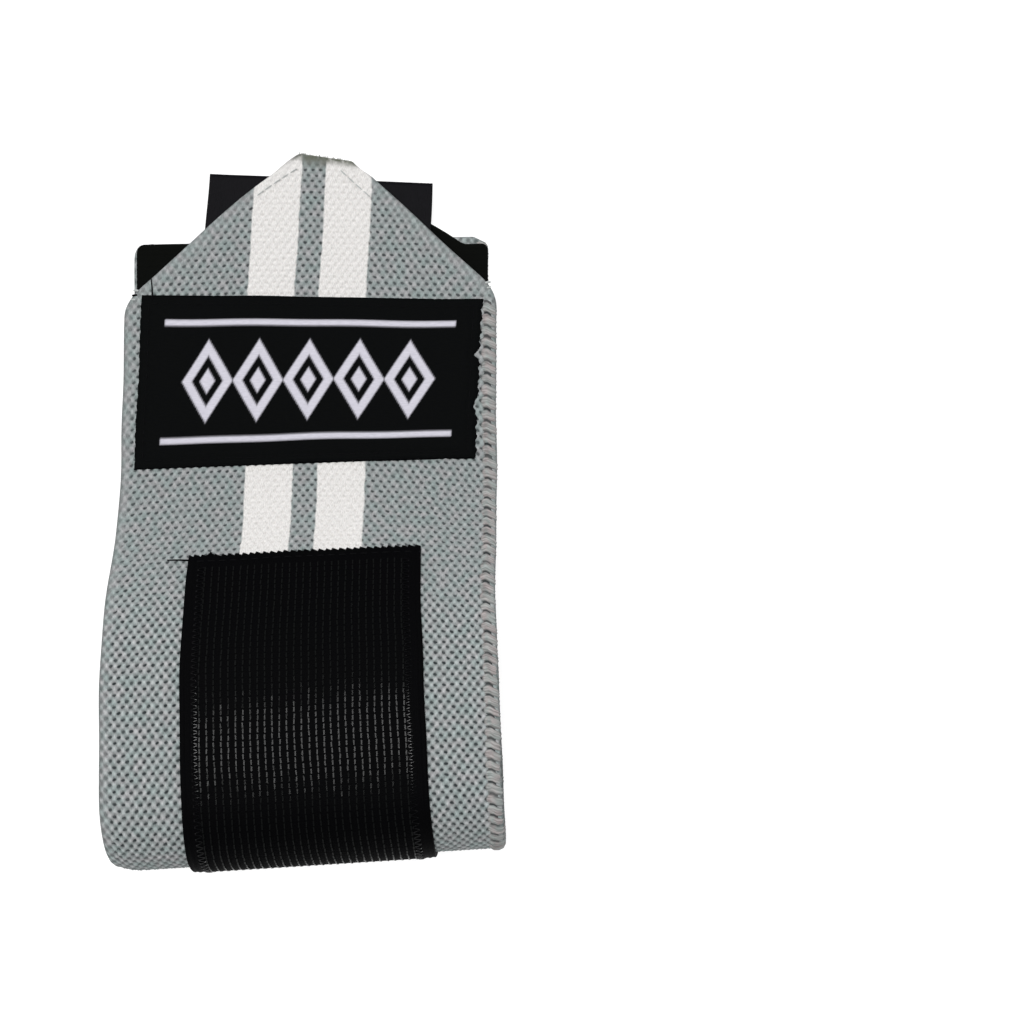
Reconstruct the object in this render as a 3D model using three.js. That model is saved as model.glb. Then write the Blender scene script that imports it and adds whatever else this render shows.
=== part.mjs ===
// Elastic wrist wrap, folded loosely in half and laid on a table: a webbing band with a pointed tip,
// a woven label and a hook tape on its outer face, a loop tape under the tip, and a thumb loop
// across the far end.
// Millimetres. +X runs across the band, +Y towards the tip, +Z up, and the table is Z = 0.
import * as THREE from 'three';

const { clamp, degToRad, lerp, smoothstep } = THREE.MathUtils;

// Webbing band
const BAND_WIDTH = 79.6;
const BAND_THICK = 2;
const END_WIDTH = 77;         // the far end is drawn in a little by its seams
const END_CORNER = 3;         // radius of the far end's two corners
const EDGE_SHARE = 0.4;       // part of a cloth's thickness that is left at its rounded edges

// Side view of the folded band, radii to the middle of the webbing
const BACK_RUN = 117.1;       // the layer that lies flat on the table
const FOLD_RADIUS = 13;
const DOME_RADIUS = 95.5;     // from the top of the fold, where the upper layer starts to fall
const SAG_RADIUS = 40;        // where it flattens out again above the back layer
const SLOPE = degToRad(31);
const FRONT_RUN = 63.5;       // the flat part of the upper layer, to the end of the tip

// The fold lies a little askew
const FOLD_SKEW = 0.062;      // Y per millimetre across
const FOLD_SHIFT = 1.9;       // sideways
const FOLD_REACH = 66;        // along the band, on either side, until both have faded out
const CORNER_DRAW = 1.6;      // the fold's left corner is drawn in this far
const CORNER_WIDTH = 6;

// Pointed tip, its corners turned under
const TIP_LENGTH = 30;
const TIP_END_WIDTH = 12.4;
const TIP_LEAN = 1.25;        // the cloth at the end of the tip lies this far to the right
const TIP_ASIDE = 1.5;        // and the tip is cut this far to the right of the cloth's middle
const TIP_BULGE = 1.7;        // its left side is rounded out this far
const TIP_SLANT = 1;          // the left shoulder lies lower than the right one, by twice this
const SHOULDER_BLEND = 4;     // rounds the two shoulders
const FLAP_THICK = 1.4;       // the turned-under corners, pressed flat

// Pieces sewn along the band. start: from the end of the tip. shift: sideways, at the piece's end
// nearer the tip and at its other end. slant: how those two ends lean, along per millimetre across.
// spread: how much wider the other end is, as a share of the width.
const LABEL = {
  start: 30.35, length: 35.65, width: 72.6, spread: -0.01, thick: 0.5,
  shift: [0.4, -0.8], slant: [-0.0125, 0.035],
};
const HOOK_TAPE = {
  start: 87.15, length: 79.5, width: 47.4, spread: 0.03, thick: 1.3,
  shift: [0.3, 1.4], slant: [0.05, 0],
};
const LOOP_TAPE = {
  start: 3.7, length: 50, width: 48, spread: 0, thick: 1.1,
  shift: [0.6, -0.1], slant: [-0.04, -0.04],
};
const GAP = 0.25;             // clear space between layers

// Thumb loop: a strap across the far end, with its middle bowed towards the tip
const STRAP_WIDTH = 20;
const STRAP_THICK = 1;
const STRAP_INSET = 1;        // the band's rim shows this wide round it
const STRAP_BOW = 11;
const STRAP_BOW_SPAN = 60;
const STRAP_BOW_SHIFT = 3;    // the bow's middle lies this far to the right

// Longest steps of the meshes along the band
const FINE_STEP = 0.6;
const BEND_STEP = 2.4;
const LONG_STEP = 9;

// The layers at the tip are stacked on the table, which sets the height of the upper layer.
const FRONT_HEIGHT = 1.5 * BAND_THICK + STRAP_THICK + LOOP_TAPE.thick + FLAP_THICK + 3 * GAP;
const FOLD_TOP = BAND_THICK / 2 + 2 * FOLD_RADIUS;
const BENDS_DROP = (DOME_RADIUS + SAG_RADIUS) * (1 - Math.cos(SLOPE));
const SLOPE_RUN = (FOLD_TOP - FRONT_HEIGHT - BENDS_DROP) / Math.sin(SLOPE);

// The band seen from the side, from its far end to its tip: straight runs, and bends whose radius is
// positive where the band turns upwards and back over itself.
const COURSE = [
  { part: 'back layer', length: BACK_RUN, radius: Infinity },
  { part: 'fold', length: FOLD_RADIUS * Math.PI, radius: FOLD_RADIUS },
  { part: 'dome', length: DOME_RADIUS * SLOPE, radius: DOME_RADIUS },
  { part: 'slope', length: SLOPE_RUN, radius: Infinity },
  { part: 'sag', length: SAG_RADIUS * SLOPE, radius: -SAG_RADIUS },
  { part: 'front layer', length: FRONT_RUN, radius: Infinity },
];
const BAND_LENGTH = COURSE.reduce((sum, { length }) => sum + length, 0);
const FOLD_MIDDLE = BACK_RUN + FOLD_RADIUS * Math.PI / 2;
const TIP_START = BAND_LENGTH - TIP_LENGTH;

// Middle of the webbing at a distance along the band, with the direction that its outer face looks.
function courseAt(along) {
  let y = 0;
  let z = BAND_THICK / 2;
  let heading = 0;
  let left = along;
  for (const { length, radius } of COURSE) {
    const run = clamp(left, 0, length);
    const turned = heading + run / radius;
    if (Number.isFinite(radius)) {
      y -= radius * (Math.sin(turned) - Math.sin(heading));
      z -= radius * (Math.cos(turned) - Math.cos(heading));
    } else {
      y -= run * Math.cos(heading);
      z += run * Math.sin(heading);
    }
    heading = turned;
    left -= run;
  }
  return { y, z, outY: -Math.sin(heading), outZ: -Math.cos(heading) };
}

// How much of the fold's skew and shift is left at a distance along the band, from 1 to 0.
function foldShare(along) {
  return 1 - smoothstep(Math.abs(along - FOLD_MIDDLE), 0, FOLD_REACH);
}

// Sideways place of the band's middle line.
function bandShift(along) {
  const intoTip = clamp((along - TIP_START) / TIP_LENGTH, 0, 1);
  return FOLD_SHIFT * foldShare(along) + TIP_LEAN * intoTip;
}

// Half the band's width on its left (-1) or right (1) side: round corners at the far end, and at the
// tip a triangle whose shoulder is a smooth minimum of the two widths.
function bandHalf(along, side) {
  const fromEnd = clamp(along / END_CORNER, 0, 1);
  const corner = END_CORNER * (1 - Math.sqrt(1 - (1 - fromEnd) ** 2));
  const straight = lerp(END_WIDTH, BAND_WIDTH, smoothstep(along, 0, BACK_RUN)) / 2;
  const shoulder = TIP_START + side * TIP_SLANT;
  const intoTip = (along - shoulder) / (BAND_LENGTH - shoulder);
  const bulge = side < 0 ? TIP_BULGE * Math.sin(Math.PI * clamp(intoTip, 0, 1) ** 2) : 0;
  const triangle = lerp(BAND_WIDTH, TIP_END_WIDTH, intoTip) / 2 + side * TIP_ASIDE * intoTip + bulge;
  const share = clamp((triangle - straight) / (2 * SHOULDER_BLEND) + 0.5, 0, 1);
  return lerp(triangle, straight, share) - SHOULDER_BLEND * share * (1 - share) - corner;
}

// Depth of the band's inner face below the middle of the webbing; the flaps thicken the tip.
function innerDepth(along) {
  const flaps = smoothstep(along, TIP_START - SHOULDER_BLEND, TIP_START + SHOULDER_BLEND);
  return BAND_THICK / 2 + FLAP_THICK * flaps;
}

// A point of the folded band: along it, across it from its middle line, out from its middle surface.
function onBand(along, across, out) {
  const { y, z, outY, outZ } = courseAt(along);
  const intoCorner = clamp((CORNER_WIDTH - BAND_WIDTH / 2 - across) / CORNER_WIDTH, 0, 1);
  const askew = (FOLD_SKEW * across + CORNER_DRAW * intoCorner ** 2) * foldShare(along);
  return [bandShift(along) + across, y + outY * out + askew, z + outZ * out];
}

// Closed mesh from rings of points. Each ring is the columns of the outer face and then those of the
// inner face walked back, so the two ends are strips between the faces.
function ringsToGeometry(rings) {
  const size = rings[0].length;
  const last = (rings.length - 1) * size;
  const faces = [];
  const quad = (a, b, c, d) => faces.push(a, b, c, a, c, d);
  for (let start = 0; start < last; start += size) {
    for (let i = 0; i < size; i++) {
      const next = (i + 1) % size;
      quad(start + i, start + next, start + size + next, start + size + i);
    }
  }
  for (let i = 0; i + 1 < size / 2; i++) {
    const facing = size - 1 - i;
    quad(i, facing, facing - 1, i + 1);
    quad(last + i, last + i + 1, last + facing - 1, last + facing);
  }
  const geometry = new THREE.BufferGeometry();
  geometry.setAttribute('position', new THREE.Float32BufferAttribute(rings.flat(2), 3));
  geometry.setIndex(faces);
  geometry.computeVertexNormals();
  return geometry;
}

// Columns of a strip, as shares of its half width, close together at its rounded edges.
const COLUMNS = [-1, -0.97, -0.9, -0.8, -0.6, -0.3, 0, 0.3, 0.6, 0.8, 0.9, 0.97, 1];

// A strip of cloth laid along the folded band. stations: distances along the band. half, shift, low and
// high: functions of the distance, half of the side too. slant: at the first and at the last station.
function strip({ stations, half, shift, low, high, slant }) {
  const first = stations[0];
  const span = stations.at(-1) - first;
  const rings = stations.map((station) => {
    const lean = lerp(...slant, (station - first) / span);
    const face = (side) => COLUMNS.map((column) => {
      const across = column * half(station, Math.sign(column));
      const along = station + lean * across;
      const middle = (high(along) + low(along)) / 2;
      const depth = (high(along) - low(along)) / 2 * (Math.abs(column) === 1 ? EDGE_SHARE : 1);
      return onBand(along, shift(station) + across, middle + side * depth);
    });
    return [...face(1), ...face(-1).reverse()];
  });
  return ringsToGeometry(rings);
}

// Distances from one place to another, in equal steps no longer than a given one.
function steps(from, to, longest) {
  const count = Math.ceil((to - from) / longest);
  return Array.from({ length: count + 1 }, (_, i) => lerp(from, to, i / count));
}

// The whole band: fine steps at its shaped ends, short ones round the bends, long ones where it is straight.
function wrapBand() {
  const stretches = [
    { to: END_CORNER, step: FINE_STEP },
    { to: BACK_RUN, step: LONG_STEP },
    { to: BAND_LENGTH - FRONT_RUN, step: BEND_STEP },
    { to: TIP_START - SHOULDER_BLEND, step: LONG_STEP },
    { to: TIP_START + SHOULDER_BLEND, step: FINE_STEP },
    { to: BAND_LENGTH, step: BEND_STEP },
  ];
  const stations = [0];
  for (const { to, step } of stretches) {
    stations.push(...steps(stations.at(-1), to, step).slice(1));
  }
  return strip({
    stations,
    half: bandHalf,
    shift: () => 0,
    low: (along) => -innerDepth(along),
    high: () => BAND_THICK / 2,
    slant: [0, 0],
  });
}

// A piece sewn along the band, between two heights over its middle surface.
function sewn({ start, length, width, spread, shift, slant }, low, high) {
  const tipEnd = BAND_LENGTH - start;
  return strip({
    stations: steps(tipEnd - length, tipEnd, BEND_STEP),
    half: (along) => width / 2 * (1 + spread * (tipEnd - along) / length),
    shift: (along) => lerp(...shift, (tipEnd - along) / length),
    low,
    high,
    slant: slant.toReversed(),
  });
}

function onOuterFace(size) {
  const seat = BAND_THICK / 2 + GAP;
  return sewn(size, () => seat, () => seat + size.thick);
}

function onInnerFace(size) {
  const seat = (along) => -innerDepth(along) - GAP;
  return sewn(size, (along) => seat(along) - size.thick, seat);
}

// Flat strap on the inner face of the far end, sewn down at its two ends.
function thumbLoop() {
  const half = END_WIDTH / 2 - STRAP_INSET;
  const outer = -STRAP_INSET;
  const inner = outer - STRAP_WIDTH;
  const left = STRAP_BOW_SHIFT - STRAP_BOW_SPAN / 2;
  const right = STRAP_BOW_SHIFT + STRAP_BOW_SPAN / 2;
  const shape = new THREE.Shape();
  shape.moveTo(-half, inner);
  shape.lineTo(left, inner);
  shape.quadraticCurveTo(STRAP_BOW_SHIFT, inner + 2 * STRAP_BOW, right, inner);
  shape.lineTo(half, inner);
  shape.lineTo(half, outer);
  shape.lineTo(right, outer);
  shape.quadraticCurveTo(STRAP_BOW_SHIFT, outer + 2 * STRAP_BOW, left, outer);
  shape.lineTo(-half, outer);
  const geometry = new THREE.ExtrudeGeometry(shape, { depth: STRAP_THICK, bevelEnabled: false });
  return geometry.translate(0, 0, BAND_THICK + GAP);
}

function piece(name, geometry, color, roughness) {
  const mesh = new THREE.Mesh(geometry, new THREE.MeshStandardMaterial({ color, roughness, metalness: 0 }));
  mesh.name = name;
  return mesh;
}

const wrap = new THREE.Group();
wrap.add(
  piece('wrap_band', wrapBand(), 0x9aa0a2, 0.95),
  piece('label', onOuterFace(LABEL), 0x121214, 0.7),
  piece('hook_tape', onOuterFace(HOOK_TAPE), 0x0c0c0d, 0.45),
  piece('loop_tape', onInnerFace(LOOP_TAPE), 0x17161a, 0.8),
  piece('thumb_loop', thumbLoop(), 0x111210, 0.85),
);

// The origin is on the table, under the middle of the folded wrap.
const bounds = new THREE.Box3().setFromObject(wrap);
const middle = bounds.getCenter(new THREE.Vector3());
wrap.position.set(-middle.x, -middle.y, -bounds.min.z);

export default wrap;
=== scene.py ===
"""Elastic wrist wrap, folded loosely in half: a pointed webbing band with a woven label, a hook tape,
a loop tape under its tip and a thumb loop at its far end. Lengths are millimetres until a mesh is made."""

import math

import bmesh
import bpy
import numpy as np
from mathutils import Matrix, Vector


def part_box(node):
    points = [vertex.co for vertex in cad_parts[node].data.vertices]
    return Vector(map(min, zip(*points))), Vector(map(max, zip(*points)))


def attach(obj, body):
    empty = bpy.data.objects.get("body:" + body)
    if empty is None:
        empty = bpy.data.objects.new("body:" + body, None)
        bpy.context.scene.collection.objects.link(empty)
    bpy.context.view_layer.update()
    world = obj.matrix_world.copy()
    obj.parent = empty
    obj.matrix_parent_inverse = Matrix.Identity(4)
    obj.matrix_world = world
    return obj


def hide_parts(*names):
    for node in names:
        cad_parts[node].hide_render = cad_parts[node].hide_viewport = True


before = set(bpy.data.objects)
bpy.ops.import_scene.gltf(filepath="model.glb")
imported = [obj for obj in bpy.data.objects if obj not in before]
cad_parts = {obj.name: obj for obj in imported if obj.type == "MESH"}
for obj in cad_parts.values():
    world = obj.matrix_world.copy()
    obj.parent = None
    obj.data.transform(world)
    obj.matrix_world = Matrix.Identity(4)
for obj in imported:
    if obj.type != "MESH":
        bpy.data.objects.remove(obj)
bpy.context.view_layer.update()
random = np.random.default_rng(7)

# Webbing band, whose far end is narrower and lies a little to the left
BAND_WIDTH = 79.6
BAND_THICK = 2.0
END_WIDTH = 77.0
END_CORNER = 3.0
END_SHIFT = -0.6
EDGE_ROUND = 1.1
INNER_COLUMNS = 25

# The far end flares on its right, and the strap's seam draws it in on its left: how far each goes, where
# across the band it sets in, where the drawn stretch ends, and how far along the band both reach
END_FLARE = 1.0
FLARE_SPAN = (0, 30)
SEAM_DRAW = 0.9
DRAW_BEGINS = (-37, -32)
DRAW_ENDS = (-20, -4)
FLARE_REACH = 12

# Side view of the folded band, radii to the middle of the webbing
BACK_RUN = 117.1
FOLD_RADIUS = 13.0
DOME_RADIUS = 95.5
SAG_RADIUS = 40.0
SLOPE = math.radians(31)
FRONT_RUN = 63.5

# The fold lies a little askew
FOLD_SKEW = 0.062
FOLD_SHIFT = 1.9
FOLD_REACH = 66.0
CORNER_DRAW = 1.6
CORNER_WIDTH = 6.0

# Slow waves in which the cloth's threads drift: height, and the way along and across the band to one radian
ACROSS_WAVES = ((0.1, 7.3, 19), (0.06, 3.1, -11))
ALONG_WAVES = ((0.12, 31, 9.1), (0.06, -13, 3.7))

# Pointed tip, its corners turned under
TIP_LENGTH = 30.0
TIP_END_WIDTH = 12.4
TIP_LEAN = 1.25
TIP_ASIDE = 1.5
TIP_BULGE = 1.7
TIP_SLANT = 1.0
TIP_CUT_SLOPE = -0.12
TIP_CUT_REACH = 4
SHOULDER_BLEND = 4.0
FLAP_THICK = 1.4

# Pieces sewn along the band: start from the end of the tip, size, how much wider the far end is, and the
# sideways shift and the slant of the end nearer the tip and of the far end
LABEL = {
    "start": 30.35, "length": 35.65, "width": 72.6, "spread": -0.01, "thick": 0.5,
    "shift": (0.4, -0.8), "slant": (-0.0125, 0.035),
}
HOOK_TAPE = {
    "start": 87.15, "length": 79.5, "width": 47.4, "spread": 0.03, "thick": 1.3,
    "shift": (0.3, 1.4), "slant": (0.05, 0),
}
LOOP_TAPE = {
    "start": 3.7, "length": 50.0, "width": 48.0, "spread": 0.0, "thick": 1.1,
    "shift": (0.6, -0.1), "slant": (-0.04, -0.04),
}
GAP = 0.25

# Thumb loop
STRAP_WIDTH = 20.0
STRAP_THICK = 1.0
STRAP_INSET = 1.0
STRAP_BOW = 11.0
STRAP_BOW_SPAN = 60.0
STRAP_BOW_SHIFT = 3.0
STRAP_CORNER = 1.5

# Weave of the webbing: beads in staggered rows with a pit between each four
BEAD_PITCH = 1.7
ROW_PITCH = 2.44
BEAD_RISE = 0.15
PIT_DEPTH = 0.22
PIT_WIDTH = 0.8
PIT_HEIGHT = 0.62
STRIPE_WIDTH = 10.0
STRIPE_GAP = 5.2
STRIPE_MIDDLE = -0.67
STRIPE_SOFT = 0.15
PIT_LEAN = 0.8
PIT_LEAN_REACH = 18
WEAVE_FADE = 0.8

# Past the label the weave's rows come closer and lean, over so many millimetres
WEFT_CLOSER = 0.03
CLOSER_REACH = 110
WEFT_LEAN = 0.035
LEAN_REACH = 25

# Bow of the rows at the band's sides: its growth, where past the dome's start it turns, its limits, and what
# it loses in a span round the end of the sag
BOW_GROWTH = 0.065
BOW_TURN = 18
BOW_LIMITS = (-2.0, 1.7)
BOW_LOSS = 1.2
BOW_LOSS_SPAN = (-7, 30)

# Where the weave lies flat, from the end of the sag, and how much of the painted shade on its beads and of
# its pits is lost there
FLAT_SPAN = (-44, -24)
FLAT_BEAD_SHADING_LOSS = 0.5
FLAT_SHUT = 0.1

# Other places with shut pits: distance from an edge, the fold's middle or the cut, and how much is shut
LEFT_SELVAGE = (1.2, 2.4)
RIGHT_SELVAGE = (0.6, 1.2)
DOUBLED_SPAN = (1.5, 5.5)
DOUBLED_SHUT = 0.8
FRONT_SPAN = (4, 14)
FRONT_SHUT = 0.85
CUT_SPAN = (0.8, 2.4)

# Worn edges: depth of the frayed cut, how much deeper it is in the grey middle, and width of the painted
# shade along the band's sides
FRAY_SPAN = (0.3, 1.8)
FRAY_MORE = 1.6
EDGE_SHADE_WIDTH = 1.0
FIBRES = 220

# Overcast edge on the band's right
RIB_FIRST = 1.5
RIB_SHORT = 1.0
RIB_WIDTH = 2.6
RIB_INNER = 1.2
RIB_RISE = 0.32
RIB_SUNK = 0.2
RIB_FLAT = 0.1
RIB_WANDER = 0.05
RIB_SCALLOP = 0.35
RIB_SLANT = 1.3
RIB_STEPS = 14
RIB_STRANDS = 3
STRAND_RISE = 0.09

# Shares of a rib's profile, from the outer face round the edge to the inner face, and of a rib's half width
EDGE_BEGINS = 0.45
EDGE_ENDS = 0.8
SLANT_BEGINS = 0.25
SLIT_BEGINS = 0.08
SLIT_FADE = (0.62, 0.8)
SLIT_SPAN = (0.62, 0.9)

# Figure on the label: lozenges, each a frame and a core given as shares of its size, and two lines
LOZENGES = 5
LOZENGE_HALF_WIDTH = 5.4
LOZENGE_HALF_HEIGHT = 8.6
LOZENGE_FRAME = 0.62
LOZENGE_CORE = 0.3
LINE_FROM_MIDDLE = 12.2
LINE_HALF_LENGTH = 31
LINE_HALF_WIDTH = 0.6
FIGURE_SOFT = 0.3
FIGURE_RISE = 0.06

# The label's seam, its height over and under the band's face, and where its right edge is pulled in
LABEL_SEAM = 1.7
LABEL_HEIGHT = 0.3
LABEL_NOTCHES = (12.5, 23.9)
NOTCH_WIDTH = 1.1
NOTCH_DEPTH = 0.9

# Hooks, with one hook's middle line as its reach along the tape and its height over the tape's ground
HOOK_ROWS = 29
HOOK_ROW_PITCH = 1.43
HOOK_PITCH = 1.2
HOOK_FIRST = 3.0
HOOK_MARGIN = 5
HOOK_WIDTH = 0.28
HOOK_THICK = 0.1
HOOK_LEAN = 0.06
HOOK_TILT = 0.014
HOOK_ROLL = 0.015
HOOK_TWIST = 0.001
HOOK_LINE = ((0.0, -0.15), (0.05, 0.12), (0.97, 0.12), (1.02, -0.15))

# The hook tape's woven ground: its plain sides, its cut end and the thread that stands out of it
TAPE_GROUND = 1.0
TAPE_SUNK = 0.25
TAPE_SIDE = 2.2
TAPE_LINE_PITCH = 1.05
TAPE_RIB_PITCH = 0.8
TAPE_TOOTH = 0.65
NIB_PLACE = -19.4
NIB_WIDTH = 0.28
NIB_LENGTH = 0.9

# Pile under the loop tape
PILE_PITCH = 1.45
PILE_HALF_LOOP = 0.6
PILE_HEIGHT = 0.5
PILE_RADIUS = 0.09

# Camera, nearly straight down and close to the wrap
CAMERA_ELEVATION = math.radians(86)
CAMERA_DISTANCE = 340.0
CAMERA_TARGET = np.array([42.1, -0.85, 8.2])
CAMERA_SCALE = 4.735
IMAGE_WIDTH = 1024
SENSOR_WIDTH = 36.0

FRONT_HEIGHT = 1.5 * BAND_THICK + STRAP_THICK + LOOP_TAPE["thick"] + FLAP_THICK + 3 * GAP
FOLD_TOP = BAND_THICK / 2 + 2 * FOLD_RADIUS
BENDS_DROP = (DOME_RADIUS + SAG_RADIUS) * (1 - math.cos(SLOPE))
SLOPE_RUN = (FOLD_TOP - FRONT_HEIGHT - BENDS_DROP) / math.sin(SLOPE)

# Length and radius of each stretch, from the far end to the tip; no radius is straight
COURSE = (
    (BACK_RUN, None),
    (FOLD_RADIUS * math.pi, FOLD_RADIUS),
    (DOME_RADIUS * SLOPE, DOME_RADIUS),
    (SLOPE_RUN, None),
    (SAG_RADIUS * SLOPE, -SAG_RADIUS),
    (FRONT_RUN, None),
)
BAND_LENGTH = sum(length for length, _ in COURSE)
FOLD_MIDDLE = BACK_RUN + FOLD_RADIUS * math.pi / 2
DOME_START = BACK_RUN + FOLD_RADIUS * math.pi
SAG_END = BAND_LENGTH - FRONT_RUN
TIP_START = BAND_LENGTH - TIP_LENGTH

# Place of the band's far end in the frame, from the thumb loop that is sewn on it
STRAP_BOX = [np.array(corner) * 1000 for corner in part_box("thumb_loop")]
FAR_END = np.array([
    (STRAP_BOX[0][0] + STRAP_BOX[1][0]) / 2,
    STRAP_BOX[0][1] + STRAP_INSET + STRAP_WIDTH,
    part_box("wrap_band")[0][2] * 1000,
])


def smoothstep(value, low, high):
    share = np.clip((value - low) / (high - low), 0, 1)
    return share * share * (3 - 2 * share)


def blend(start, end, share):
    return start + (end - start) * share


def course(along):
    """The band's middle line seen from the side, made of straight runs and arcs.

    Gives y and z at each distance along it, and the direction of its outer face as another y and z.
    The first and the last run go on straight past the band's ends.
    """
    y = np.zeros_like(along)
    z = np.full_like(along, BAND_THICK / 2)
    heading = np.zeros_like(along)
    left = along
    for number, (length, radius) in enumerate(COURSE):
        least = -np.inf if number == 0 else 0
        most = np.inf if number == len(COURSE) - 1 else length
        run = np.clip(left, least, most)
        if radius is None:
            y = y - run * np.cos(heading)
            z = z + run * np.sin(heading)
        else:
            turned = heading + run / radius
            y = y - radius * (np.sin(turned) - np.sin(heading))
            z = z - radius * (np.cos(turned) - np.cos(heading))
            heading = turned
        left = left - run
    return y, z, -np.sin(heading), -np.cos(heading)


def fold_share(along):
    """How much of the fold's skew is left at a distance along the band, from 1 to 0."""
    return 1 - smoothstep(np.abs(along - FOLD_MIDDLE), 0, FOLD_REACH)


def band_half(along, side):
    """Half the band's width on its left (-1) or right (1) side.

    The far end has round corners. The tip is a triangle, and each shoulder is a smooth minimum of the
    straight and the slanted side.
    """
    from_end = np.clip(along / END_CORNER, 0, 1)
    corner = END_CORNER * (1 - np.sqrt(1 - (1 - from_end) ** 2))
    straight = blend(END_WIDTH, BAND_WIDTH, smoothstep(along, 0, BACK_RUN)) / 2
    shoulder = TIP_START + side * TIP_SLANT
    into_tip = (along - shoulder) / (BAND_LENGTH - shoulder)
    bulge = np.where(side < 0, TIP_BULGE * np.sin(np.pi * np.clip(into_tip, 0, 1) ** 2), 0)
    triangle = blend(BAND_WIDTH, TIP_END_WIDTH, into_tip) / 2 + side * TIP_ASIDE * into_tip + bulge
    share = np.clip((triangle - straight) / (2 * SHOULDER_BLEND) + 0.5, 0, 1)
    return blend(triangle, straight, share) - SHOULDER_BLEND * share * (1 - share) - corner


def inner_depth(along):
    """Depth of the band's inner face below its middle, with the turned-under corners at the tip."""
    return BAND_THICK / 2 + FLAP_THICK * smoothstep(along - TIP_START, -SHOULDER_BLEND, SHOULDER_BLEND)


def waves(table, across, along):
    """Sum of sine waves over the band, one for each row of the table."""
    return sum(height * np.sin(along / long + across / wide) for height, long, wide in table)


def on_band(across, along, out):
    """Points in the frame from places on the folded band: across, along it, and out of its middle surface.

    The side view gives y and z. The fold leans with across and draws in its left corner, the tip leans to
    the right, the far end lies to the left, and slow waves let the threads drift a little.
    """
    across = across + waves(ACROSS_WAVES, across, along)
    along = along + waves(ALONG_WAVES, across, along)
    y, z, out_y, out_z = course(along)
    shift = FOLD_SHIFT * fold_share(along) + TIP_LEAN * np.clip((along - TIP_START) / TIP_LENGTH, 0, 1)
    shift = shift + END_SHIFT * (1 - smoothstep(along, 0, BACK_RUN))
    into_corner = np.clip((CORNER_WIDTH - BAND_WIDTH / 2 - across) / CORNER_WIDTH, 0, 1)
    askew = (FOLD_SKEW * across + CORNER_DRAW * into_corner**2) * fold_share(along)
    return np.stack([shift + across, y + out_y * out + askew, z + out_z * out], axis=-1) + FAR_END


def tone(hex_colour):
    """Linear colour of an sRGB hex value."""
    srgb = np.array([int(hex_colour[i:i + 2], 16) for i in (1, 3, 5)]) / 255
    linear = np.where(srgb <= 0.04045, srgb / 12.92, ((srgb + 0.055) / 1.055) ** 2.4)
    return (*linear.tolist(), 1.0)


def node(tree, kind, inputs=None, **settings):
    """Adds a shader node with its settings. An input that is a node or a socket is linked, others are set."""
    made = tree.nodes.new("ShaderNode" + kind)
    for name, value in settings.items():
        setattr(made, name, value)
    open_sockets = [socket for socket in made.inputs if socket.enabled]
    for name, value in (inputs or {}).items():
        if isinstance(name, int):
            socket = open_sockets[name]
        else:
            socket = next(socket for socket in open_sockets if socket.name == name)
        if isinstance(value, bpy.types.Node):
            value = next(output for output in value.outputs if output.enabled)
        if isinstance(value, bpy.types.NodeSocket):
            tree.links.new(value, socket)
        else:
            socket.default_value = value
    return made


def new_material(name, **sockets):
    """A material with a Principled shader whose plain values are set on its own sockets."""
    made = bpy.data.materials.new(name)
    made.use_nodes = True
    shader = made.node_tree.nodes["Principled BSDF"]
    for socket, value in sockets.items():
        shader.inputs[socket.replace("_", " ")].default_value = value
    return made, made.node_tree, shader


def make_piece(name, points, material, uv=None, marks=None, smooth=True):
    """An object made of closed bodies, from points in millimetres.

    points has the shape bodies, rings, ring size, 3. Quads join each ring to the next and a face closes
    each end. Points that fall together are merged and faces are turned outwards. uv has the same shape,
    with 2 numbers in millimetres, and marks are named numbers, one for each point.
    """
    bodies, rings, size, _ = points.shape
    index = np.arange(bodies * rings * size).reshape(bodies, rings, size)
    beside = np.roll(index, -1, axis=2)
    quads = np.stack([index[:, :-1], beside[:, :-1], beside[:, 1:], index[:, 1:]], axis=-1).reshape(-1, 4)
    ends = np.concatenate([index[:, 0, ::-1], index[:, -1]])
    mesh = bpy.data.meshes.new(name)
    mesh.from_pydata((points.reshape(-1, 3) / 1000).tolist(), [], quads.tolist() + ends.tolist())
    if uv is not None:
        corner = np.empty(len(mesh.loops), dtype=np.int32)
        mesh.loops.foreach_get("vertex_index", corner)
        layer = mesh.uv_layers.new(name="cloth")
        layer.uv.foreach_set("vector", uv.reshape(-1, 2)[corner].astype(np.float32).ravel())
    for mark, values in (marks or {}).items():
        attribute = mesh.attributes.new(mark, "FLOAT", "POINT")
        attribute.data.foreach_set("value", values.astype(np.float32).ravel())
    shape = bmesh.new()
    shape.from_mesh(mesh)
    bmesh.ops.remove_doubles(shape, verts=shape.verts, dist=1e-6)
    bmesh.ops.recalc_face_normals(shape, faces=shape.faces)
    shape.to_mesh(mesh)
    shape.free()
    if smooth:
        mesh.shade_smooth()
    mesh.materials.append(material)
    made = bpy.data.objects.new(name, mesh)
    bpy.context.collection.objects.link(made)
    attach(made, "root")
    return made


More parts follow.
